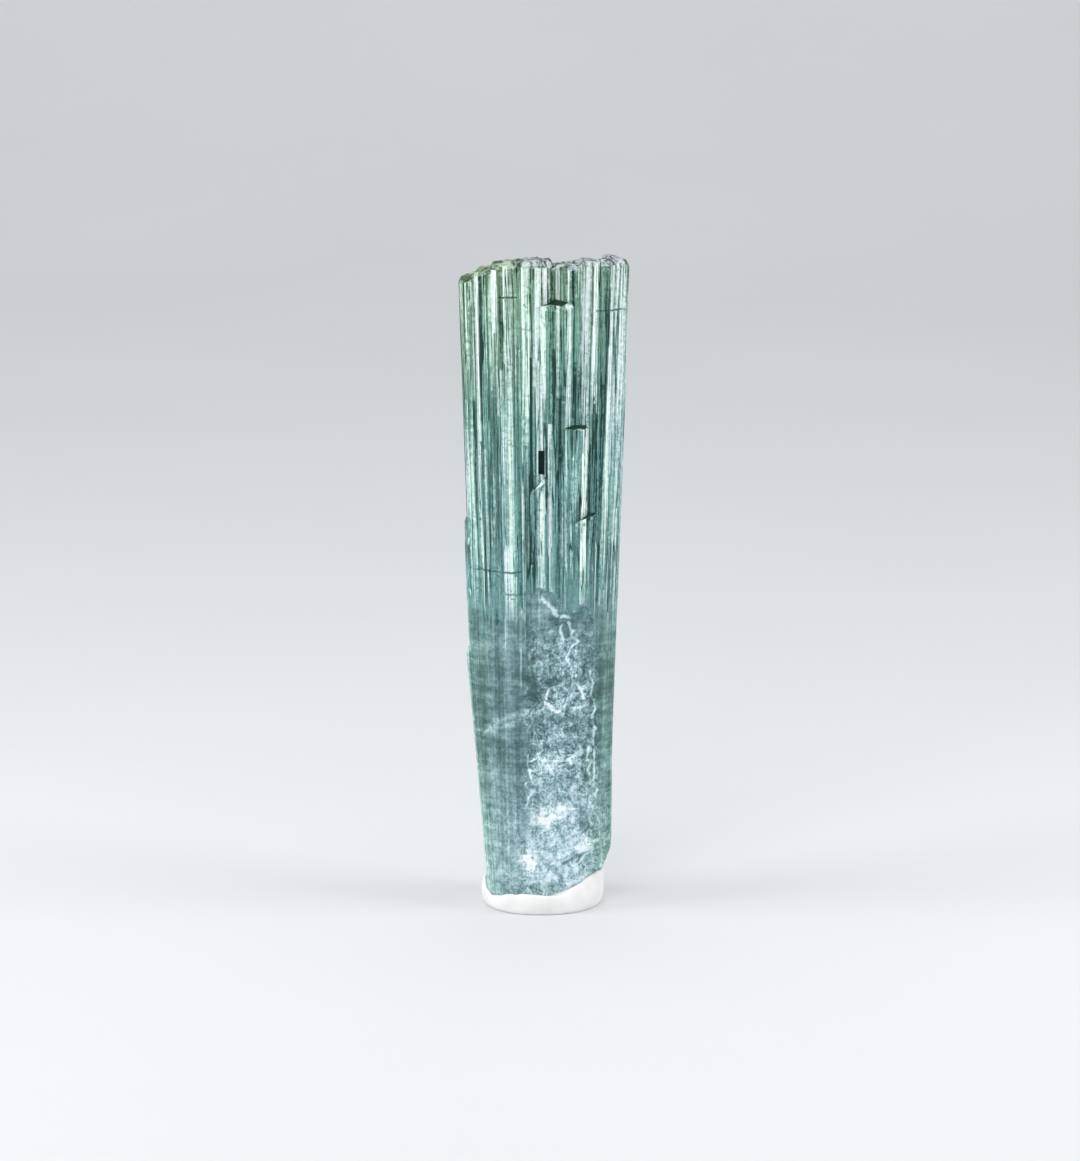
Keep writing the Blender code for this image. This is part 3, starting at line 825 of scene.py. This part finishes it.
def make_pad():
    """The pad: an uneven oval whose side bulges as half a circle, flat below, with its top
    pressed to the crystal's base."""
    turn = np.linspace(0.0, 2 * math.pi, PAD_POINTS, endpoint=False)
    oval = 1.0 / np.hypot(np.cos(turn) / PAD_HALF_WIDTH, np.sin(turn) / PAD_HALF_DEPTH)
    reach = oval * (1.0 + 0.02 * np.sin(3 * turn + 0.6) + 0.012 * np.sin(5 * turn))
    swing = np.linspace(-math.pi / 2, math.pi / 2, PAD_SIDE_RINGS)
    share = np.concatenate([0.93 + 0.07 * np.cos(swing), np.linspace(0.915, 0.02, PAD_TOP_RINGS)])
    level = np.concatenate([0.5 + 0.5 * np.sin(swing), np.ones(PAD_TOP_RINGS)])
    reach = share[:, None] * reach
    x = PAD_CENTRE[0] + reach * np.cos(turn)
    y = PAD_CENTRE[1] + reach * np.sin(turn)
    z = np.maximum(level[:, None] * pad_top(x, y), 0.0)
    tones = np.zeros((len(share) - 1, len(turn)))
    pad = skin("pressed_putty", np.stack([x, y, z], axis=-1), tones)
    pad.data.shade_smooth()
    return pad


# Shader maths


class Value:
    """A number that a material works out: an expression on it adds the Math nodes."""

    def __init__(self, finish, socket):
        self.finish = finish
        self.socket = socket

    def maths(self, operation, first, second=0.0):
        """One Math node on two values or numbers."""
        return self.finish.node("Math", {"operation": operation}, {0: first, 1: second})

    def __add__(self, other):
        return self.maths("ADD", self, other)

    def __sub__(self, other):
        return self.maths("SUBTRACT", self, other)

    def __mul__(self, other):
        return self.maths("MULTIPLY", self, other)

    def __truediv__(self, other):
        return self.maths("DIVIDE", self, other)

    def __rsub__(self, other):
        return self.maths("SUBTRACT", other, self)

    def __gt__(self, other):
        return self.maths("GREATER_THAN", self, other)

    def __lt__(self, other):
        return self.maths("LESS_THAN", self, other)

    def least(self, other):
        return self.maths("MINIMUM", self, other)

    def most(self, other):
        return self.maths("MAXIMUM", self, other)

    def size(self):
        return self.maths("ABSOLUTE", self)

    def ease(self, low, high):
        """A smooth step from 0 at low to 1 at high."""
        limits = {"Value": self, "From Min": low, "From Max": high}
        return self.finish.node("MapRange", {"interpolation_type": "SMOOTHSTEP"}, limits)

    __radd__ = __add__
    __rmul__ = __mul__


class Finish:
    """A material being made: its node tree, and one method that adds any node."""

    def __init__(self, name):
        self.material = bpy.data.materials.new(name)
        self.material.use_nodes = True
        self.tree = self.material.node_tree
        self.tree.nodes.clear()

    def node(self, kind, settings=None, sockets=None, output=0):
        """Adds a node: its settings first, then the value or link of each socket."""
        node = self.tree.nodes.new("ShaderNode" + kind)
        for name, value in (settings or {}).items():
            if name == "stops":
                self.set_stops(node.color_ramp, value)
            else:
                setattr(node, name, value)
        for name, value in (sockets or {}).items():
            if isinstance(value, Value):
                self.tree.links.new(value.socket, node.inputs[name])
            else:
                node.inputs[name].default_value = value
        return Value(self, node.outputs[output]) if node.outputs else None

    @staticmethod
    def set_stops(ramp, stops):
        """Gives a ramp its positions and colours."""
        while len(ramp.elements) < len(stops):
            ramp.elements.new(1.0)
        for element, (position, colour) in zip(ramp.elements, stops):
            element.position = position
            element.color = (*colour, 1.0)

    def mix(self, factor, first, second, blend="MIX"):
        """A colour between two, or the first multiplied by the second. Sockets 6 and 7 of
        the node are its two colours, and its output 2 is the mixed one."""
        first, second = (c if isinstance(c, Value) else (*c, 1.0) for c in (first, second))
        settings = {"data_type": "RGBA", "blend_type": blend}
        return self.node("Mix", settings, {"Factor": factor, 6: first, 7: second}, 2)

    def combined(self, x, y, z):
        """A vector of three values."""
        return self.node("CombineXYZ", None, {"X": x, "Y": y, "Z": z})

    def noise(self, place, scale, detail=2.0, roughness=0.5, distortion=0.0):
        """Smooth noise about 0.5, with as many cells in a millimetre as the scale says."""
        values = {"Vector": place, "Scale": scale, "Detail": detail, "Roughness": roughness}
        return self.node("TexNoise", None, {**values, "Distortion": distortion})

    def millimetres(self):
        """Object coordinates in millimetres."""
        metres = self.node("TexCoord", None, None, "Object")
        return self.node("VectorMath", {"operation": "SCALE"}, {0: metres, "Scale": 1.0 / MM})

    def end(self, **shaders):
        """Joins the Surface, and a Volume if there is one, to the output."""
        self.node("OutputMaterial", None, shaders)
        return self.material


class Spot(NamedTuple):
    """What the crystal's finish knows of a spot on it: where it is, and the noises there."""

    x: Value
    z: Value
    plan_x: Value
    tone: Value
    rise: Value  # how much the surface faces up
    turned: Value  # how much it faces left or right
    front: Value  # 1 on the front and 0 behind
    hair: Value  # fine lines along the crystal
    bands: Value  # broad lines along the crystal
    seams: Value  # thin lines along the crystal, 1 in the middle of each
    levels: Value  # fine lines across the crystal
    strata: Value  # broad lines across the crystal
    cloud: Value
    mottle: Value
    flecks: Value
    grit: Value


class Look(NamedTuple):
    """How a stretch of the crystal looks: the tint of its clear body, and the colour and
    cover of what is matt on it."""

    tint: Value | tuple
    matt: Value | tuple
    cover: Value | float


def crystal_spot(finish):
    """Where a spot on the crystal is, and its noises. Lines along the crystal are noise that
    is stretched upwards and widens with the bundle, and those across it are noise that is
    stretched sideways."""
    place = finish.millimetres()
    x, y, z = (finish.node("SeparateXYZ", None, {0: place}, axis) for axis in "XYZ")
    share = z * ((1.0 - FOOT_SHARE) / CROWN) + FOOT_SHARE
    upright = finish.combined(x / share, y / share, z * 0.02)
    level = finish.combined(x * 0.12, y * 0.12, z)
    normal = finish.node("NewGeometry", None, None, "Normal")
    seam = (finish.noise(upright, 2.6, 1.0) - 0.5).size()
    return Spot(
        x=x,
        z=z,
        plan_x=x / share,
        tone=finish.node("Attribute", {"attribute_name": "tone"}, None, "Fac"),
        rise=finish.node("SeparateXYZ", None, {0: normal}, "Z"),
        turned=finish.node("SeparateXYZ", None, {0: normal}, "X").size(),
        front=1.0 - y.ease(-2.6, -0.6),
        hair=finish.noise(upright, 4.5, 4.0, 0.75),
        bands=finish.noise(upright, 0.9, 1.0),
        seams=1.0 - seam.ease(0.0, 0.028),
        levels=finish.noise(level, 2.4, 4.0, 0.7),
        strata=finish.noise(level, 0.8, 2.0),
        cloud=finish.noise(place, 0.4, 3.0),
        mottle=finish.noise(place, 1.25, 5.0, 0.72, 0.9),
        flecks=finish.noise(place, 2.6, 4.0, 0.7, 1.0),
        grit=finish.noise(place, 7.0, 1.0),
    )


def over(finish, low, high, share):
    """One look laid over another, by the share of it that shows."""
    return Look(
        tint=finish.mix(share, low.tint, high.tint),
        matt=finish.mix(share, low.matt, high.matt),
        cover=low.cover * (1.0 - share) + high.cover * share,
    )


def striated_look(finish, spot):
    """The striated sides: clear green faces, pale mint and lilac ones that are partly frost and
    partly painted highlight, whitest where the painted highlight is strongest, and grooves,
    seams and dark faces painted as shade, with a few small dark pits."""
    shade = spot.tone * 0.88 + 0.07 - spot.seams * 0.65
    shade = shade + (spot.hair - 0.5) * 2.1 + (spot.flecks - 0.5) * 0.8
    shade = (shade - 0.5) * (spot.z.ease(21.0, 28.0) * 0.5 + 0.5) + 0.5
    # Pale faces are partly frost and partly painted highlight, the palest get a painted highlight in
    # white, and dark ones are painted shade.
    pale = shade.ease(0.38, 0.90)
    painted_highlight = shade.ease(0.84, 1.20)
    dark = 1.0 - shade.ease(0.05, 0.39)
    pits = (spot.grit * 0.6 + spot.cloud * 0.4).ease(0.66, 0.69)
    dark = dark.most(pits * 0.9)
    height = (spot.z - spot.x * 0.7 + (spot.bands - 0.5) * 24.0) / 50.0
    tint = finish.node("ValToRGB", {"stops": TINTS}, {"Fac": height})
    tint = finish.mix(spot.hair.ease(0.38, 0.56) * 0.5 + 0.5, DEEP_TINT_AND_SHADE, tint)
    bright = finish.mix(spot.bands.ease(0.46, 0.58) * 0.75, MINT, LILAC)
    bright = finish.mix(painted_highlight, bright, HIGHLIGHT_WHITE)
    return Look(
        tint=finish.mix(dark, finish.mix(pale * 0.65 + 0.15, tint, bright), DEEP_TINT_AND_SHADE),
        matt=finish.mix(dark, finish.mix(pale, tint, bright), CRACK_AND_SHADE_DARK),
        cover=(pale * 0.7 + painted_highlight * 0.2 + 0.05).most(dark * 0.93),
    )


def frost_marks(x, z):
    """The whiter and darker spots together: each fades out over a slanted ellipse."""
    marks = 0.0
    for spot_x, spot_z, across, up, strength in FROST_SPOTS:
        right = (x - spot_x + (z - spot_z) * 0.3) / across
        above = (z - spot_z - (x - spot_x) * 0.4) / up
        marks = (1.0 - (right * right + above * above).ease(0.0, 2.2)) * strength + marks
    return marks


def foot_look(finish, spot):
    """The smoother foot: greyish teal with faint lines both ways, mottled with frost that
    thickens towards the base, over the broken patch and along its veins, with light refracted
    at its edges painted as whiter frost on the faces turned sideways and as green towards its
    sides."""
    wander = (spot.cloud - 0.5) * 2.0
    x, z = spot.x + wander, spot.z + wander
    patch = x.ease(-1.5, -0.9) * (1.0 - x.ease(3.4, 4.2)) * (1.0 - z.ease(19.0, 22.5))
    patch = patch * spot.front
    low = 1.0 - z.ease(3.0, 13.0)
    frost = low * 0.13 + patch * (1.0 - z.ease(9.0, 12.4)) * 0.13 + 0.38
    speckled = spot.flecks * 3.0 + spot.grit * 1.5 - 1.35
    frost = frost + frost_marks(x, z) * spot.front * speckled
    calm = 1.0 - patch.most(low * (spot.plan_x.ease(-4.5, -0.5) * 0.6 + 0.4))
    frost = frost + (spot.mottle - 0.5) * (patch * 0.8 + 0.7)
    frost = frost + (spot.flecks - 0.5) * (0.85 - calm * 0.65)
    frost = frost + (spot.grit - 0.5) * (0.45 - calm * 0.35)
    frost = frost + (spot.hair - 0.5) * 0.45 + (spot.levels - 0.5) * (calm * 0.35 + 0.1)
    frost = frost + ((spot.bands - 0.5) * 0.4 + (spot.strata - 0.5) * 0.5) * (calm * 0.6 + 0.3)
    frost = frost + (-0.95 - spot.tone).ease(0.0, 0.9) * 0.42
    waver = (spot.cloud - 0.5) * 0.3
    fine = spot.hair.ease(0.3, 0.6)
    for line_x, bottom, top in HAIRLINES:
        near = 1.0 - (spot.x - line_x + waver).size().ease(0.03, 0.10)
        near = near * spot.z.ease(bottom, bottom + 1.0) * (spot.z < top) * spot.front
        frost = frost + near * fine * 0.24
    # Painted light refracted at the edges: faces turned to the left or right are drawn whiter, and
    # they and the ends of the foot greener.
    edge = spot.turned.ease(0.75, 0.9)
    frost = frost + edge * 0.2
    matt = finish.node("ValToRGB", {"stops": FROST}, {"Fac": frost})
    green = spot.plan_x.size().ease(3.6, 5.2).most(edge) * 0.6
    matt = finish.mix(green, matt, finish.mix(1.0, matt, EDGE_LIGHT_GREEN, "MULTIPLY"))
    return Look(tint=matt, matt=matt, cover=frost.ease(0.1, 0.8) * 0.45 + 0.45)


def crown_look(finish, spot):
    """The rough tops: green on the left and lilac grey towards the right, with dark pits."""
    rough = spot.mottle * 0.7 + spot.flecks * 0.3
    pale = finish.mix(spot.x.ease(-4.0, 0.0), TOP_GREEN, TOP_GREY)
    colour = finish.mix(rough.ease(0.43, 0.58), TOP_PITS, pale)
    return Look(tint=colour, matt=colour, cover=rough.ease(0.3, 0.7) * 0.4 + 0.45)


def fractures(spot):
    """Where the fine cracks across the front are: a thin wavering line at each height."""
    wobble = (spot.cloud - 0.5) * 0.6 + (spot.hair - 0.5) * 0.15
    crack = 0.0
    for height, left, right, strength in FRACTURES:
        near = 1.0 - (spot.z - height + wobble).size().ease(0.03, 0.11)
        crack = near * (spot.x > left) * (spot.x < right) * spot.front * strength + crack
    return crack.least(1.0) * (spot.hair.ease(0.35, 0.6) * 0.4 + 0.6)


def crystal_look(finish, spot, broken):
    """The looks laid over one another: the foot, the striated sides above it, the crown's
    tops, the ledges' lids and the slot painted dark as shade, and the cracks."""
    wander = (spot.cloud - 0.5) * 3.0 + (spot.hair - 0.5) * 9.0
    upper = (spot.z + wander).ease(19.5, 25.0) * (1.0 - broken)
    look = over(finish, foot_look(finish, spot), striated_look(finish, spot), upper)
    crown = spot.rise.ease(0.15, 0.5) * (spot.z > TOPS_FROM)
    look = over(finish, look, crown_look(finish, spot), crown)
    # Painted shade: faces that look up below the crown's tops, the ledges' lids, and the etched slot
    # are drawn dark.
    lid_shade = spot.rise.ease(0.5, 0.8) * (spot.z < TOPS_FROM)
    slot = (spot.tone - SLOT).size() < 0.1
    painted_recess_shade = Look(DEEP_TINT_AND_SHADE, finish.mix(slot, LID_SHADE, CRACK_AND_SHADE_DARK), 0.95)
    look = over(finish, look, painted_recess_shade, lid_shade.most(slot) * (spot.z > LEDGES_FROM))
    return over(finish, look, Look(DEEP_TINT_AND_SHADE, CRACK_AND_SHADE_DARK, 0.95), fractures(spot))


def tourmaline():
    """Clear pale green crystal, striated above, frosted where it is broken. The clear body
    and the matt cover on it are two shaders, mixed by how much of the cover there is."""
    finish = Finish("tourmaline")
    spot = crystal_spot(finish)
    broken = spot.tone < (BROKEN + SLOT) / 2
    look = crystal_look(finish, spot, broken)
    clear = finish.node("BsdfPrincipled", None, {
        "Base Color": look.tint,
        "Roughness": spot.flecks * 0.1 + broken * 0.1,
        "Transmission Weight": 1.0,
        "IOR": REFRACTION,
        "Normal": finish.node("Bump", None, {
            "Strength": 0.6,
            "Distance": 0.02 * MM,
            "Height": spot.hair,
        }),
    })
    matt = finish.node("BsdfPrincipled", None, {
        "Base Color": look.matt,
        "Roughness": 0.6,
        "Specular IOR Level": 0.1,
        "IOR": REFRACTION,
    })
    return finish.end(
        Surface=finish.node("MixShader", None, {0: look.cover, 1: clear, 2: matt}),
        Volume=finish.node("VolumeAbsorption", None, {
            "Color": BODY_COLOUR,
            "Density": ABSORPTION,
        }),
    )


def museum_putty():
    """White putty: matt, faintly mottled, with shallow dents from the fingers."""
    finish = Finish("museum_putty")
    place = finish.millimetres()
    smears = finish.noise(place, 0.9, 3.0)
    pores = finish.noise(place, 7.0, 3.0, 0.6)
    return finish.end(Surface=finish.node("BsdfPrincipled", None, {
        "Base Color": finish.mix(smears.ease(0.3, 0.75), PUTTY, PUTTY_SMEARS),
        "Roughness": 0.5 + pores * 0.2,
        "Subsurface Weight": 0.15,
        "Subsurface Scale": 0.8 * MM,
        "Normal": finish.node("Bump", None, {
            "Strength": 0.5,
            "Distance": 0.05 * MM,
            "Height": smears * 0.7 + pores * 0.3,
        }),
    }))


def floor_paint():
    """Pale matt paint, faintly patchy, with a roller's texture in its gloss."""
    finish = Finish("floor_paint")
    place = finish.millimetres()
    patches = finish.noise(place, 0.02, 3.0)
    roller = finish.noise(place, 0.8, 2.0)
    return finish.end(Surface=finish.node("BsdfPrincipled", None, {
        "Base Color": finish.mix(patches, PAINT, PAINT_PATCHES),
        "Roughness": 0.6 + roller * 0.15,
        "Specular IOR Level": 0.3,
    }))


# The studio


def softbox(name, place, target, width, height, power):
    """A rectangular area light at a place, in metres, turned to face the target."""
    data = bpy.data.lights.new(name, "AREA")
    data.shape = "RECTANGLE"
    data.size, data.size_y = width, height
    data.energy = power
    lamp = bpy.data.objects.new(name, data)
    bpy.context.scene.collection.objects.link(lamp)
    lamp.location = place
    away = mathutils.Vector(place) - mathutils.Vector(target)
    lamp.rotation_euler = away.to_track_quat("Z", "Y").to_euler()


def make_sweep():
    """The floor and its backdrop: a plain sheet that runs level, turns up through a quarter
    circle behind and ends as a wall."""
    turn = np.linspace(0.0, math.pi / 2, 24)
    bend = WALL_BEND * np.column_stack([np.sin(turn), 1 - np.cos(turn)]) + (FLOOR_BACK, 0.0)
    profile = np.vstack([[FLOOR_FRONT, 0.0], bend, [FLOOR_BACK + WALL_BEND, WALL_TOP]])
    left, right = (np.column_stack([np.full(len(profile), x), profile]) for x in FLOOR_SIDES)
    low = np.arange(len(profile) - 1)
    faces = np.column_stack([low, low + len(profile), low + len(profile) + 1, low + 1])
    sweep = object_of("sweep", np.vstack([left, right]) / MM, faces.tolist())
    sweep.data.shade_smooth()
    sweep.data.materials.append(floor_paint())


def make_studio():
    """A pale sweep under a wide soft light, a tall softbox at each side and one in front."""
    make_sweep()
    world = bpy.data.worlds.new("studio")
    bpy.context.scene.world = world
    world.use_nodes = True
    sky = world.node_tree.nodes["Background"]
    sky.inputs["Color"].default_value = SKY
    sky.inputs["Strength"].default_value = SKY_STRENGTH
    for name, place, target, width, height, power in SOFTBOXES:
        softbox(name, place, target, width, height, power)


def make_camera():
    """The camera, tilted down, at its distance from a point near the crystal's middle."""
    data = bpy.data.cameras.new("camera")
    data.lens, data.sensor_width = 130, 36
    data.clip_start, data.clip_end = 0.01, 20
    camera = bpy.data.objects.new("camera", data)
    bpy.context.scene.collection.objects.link(camera)
    tilt = math.radians(CAMERA_TILT)
    height = TARGET_HEIGHT + CAMERA_DISTANCE * math.sin(tilt)
    camera.location = (TARGET_X, -CAMERA_DISTANCE * math.cos(tilt), height)
    camera.rotation_euler = (math.radians(90) - tilt, 0, 0)
    bpy.context.scene.camera = camera


def dress(piece, material, node):
    """Gives a piece its finish, hangs it under the root body and hides the CAD node that it
    stands in for.
    """
    piece.data.materials.clear()
    piece.data.materials.append(material)
    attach(piece, "root")
    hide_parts(node)


dress(make_crystal(), tourmaline(), "tourmaline_crystal")
dress(make_pad(), museum_putty(), "putty_pad")
make_studio()
make_camera()
bpy.context.scene.view_settings.view_transform = "Standard"
